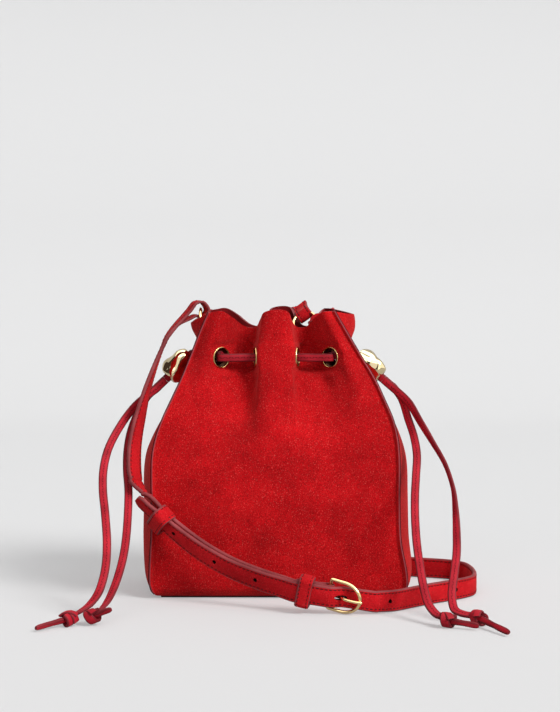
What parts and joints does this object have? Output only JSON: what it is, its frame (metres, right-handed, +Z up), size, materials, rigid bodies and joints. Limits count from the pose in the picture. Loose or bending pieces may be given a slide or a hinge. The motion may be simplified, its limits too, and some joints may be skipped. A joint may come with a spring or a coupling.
{
  "type": "bucket bag",
  "caption": "Cinched suede bucket bag with lace drawstrings through metal eyelets and beads, and a buckled crossbody strap hung from two rings.",
  "frame": {"origin": "centre of the underside of the base, on the surface that the bag stands on", "axes": "+X to the right seen from the front, +Y from the front to the back, +Z up"},
  "size_m": [0.3295, 0.2744, 0.2252],
  "materials": {
    "suede": "napped red suede, matt",
    "strap_suede": "red suede with painted edges and stitching",
    "lace_leather": "smooth red leather lace with one row of stitches",
    "board": "stiff board under the lining",
    "eyelet_metal": "polished pale gold plate",
    "bead_metal": "polished pale gold plate, dented",
    "gold_metal": "polished pale gold plate"
  },
  "bodies": {
    "bag": {"front_panel": "suede", "back_panel": "suede", "side_panel_left": "suede", "side_panel_right": "suede", "base_panel": "suede", "base_board": "board", "eyelet_front_1": "eyelet_metal", "eyelet_front_2": "eyelet_metal", "eyelet_front_3": "eyelet_metal", "eyelet_front_4": "eyelet_metal", "eyelet_back_1": "eyelet_metal", "eyelet_back_2": "eyelet_metal", "eyelet_back_3": "eyelet_metal", "eyelet_back_4": "eyelet_metal", "eyelet_side_left": "eyelet_metal", "eyelet_side_right": "eyelet_metal", "washer_front_1": "eyelet_metal", "washer_front_2": "eyelet_metal", "washer_front_3": "eyelet_metal", "washer_front_4": "eyelet_metal", "washer_back_1": "eyelet_metal", "washer_back_2": "eyelet_metal", "washer_back_3": "eyelet_metal", "washer_back_4": "eyelet_metal", "washer_side_left": "eyelet_metal", "washer_side_right": "eyelet_metal", "drawstring_front": "lace_leather", "drawstring_back": "lace_leather", "tail_left_front": "lace_leather", "tail_left_back": "lace_leather", "tail_right_front": "lace_leather", "tail_right_back": "lace_leather", "knot_left_front": "lace_leather", "knot_left_back": "lace_leather", "knot_right_front": "lace_leather", "knot_right_back": "lace_leather", "ring_tab_left": "strap_suede", "ring_tab_right": "strap_suede", "strap_buckle_part": "strap_suede", "strap_punched_part": "strap_suede", "keeper_fixed": "strap_suede"},
    "bead_left": {"bead_left": "bead_metal"},
    "bead_right": {"bead_right": "bead_metal"},
    "keeper_sliding": {"keeper_sliding": "strap_suede"},
    "ring_left": {"ring_left": "gold_metal"},
    "ring_right": {"ring_right": "gold_metal"},
    "buckle_frame": {"buckle_frame": "gold_metal"},
    "buckle_prong": {"buckle_prong": "gold_metal"}
  },
  "joints": [
    {"name": "bead_left_slide", "type": "slide", "parent": "bag", "child": "bead_left", "axis": [-0.7199, -0.14, -0.6799], "range_m": [0, 0.01]},
    {"name": "bead_right_slide", "type": "slide", "parent": "bag", "child": "bead_right", "axis": [0.7531, -0.1406, -0.6427], "range_m": [0, 0.01]},
    {"name": "keeper_slide", "type": "slide", "parent": "bag", "child": "keeper_sliding", "axis": [0.7649, -0.1591, -0.6242], "range_m": [0, 0.007]},
    {"name": "ring_left_turn", "type": "hinge", "parent": "bag", "child": "ring_left", "pos_m": [-0.06, -0.004, 0.2085], "axis": [1, 0, 0], "continuous": true},
    {"name": "ring_right_turn", "type": "hinge", "parent": "bag", "child": "ring_right", "pos_m": [0.02, 0.003, 0.2077], "axis": [-0.2997, -0.6594, 0.6894], "continuous": true},
    {"name": "buckle_frame_lift", "type": "hinge", "parent": "bag", "child": "buckle_frame", "pos_m": [0.03658, -0.10454, 0.01411], "axis": [-0.0972, 0.162, -0.982], "range_deg": [0, 5]},
    {"name": "buckle_prong_lift", "type": "hinge", "parent": "buckle_frame", "child": "buckle_prong", "pos_m": [0.03658, -0.10454, 0.01411], "axis": [-0.0972, 0.162, -0.982], "range_deg": [0, 5]}
  ]
}
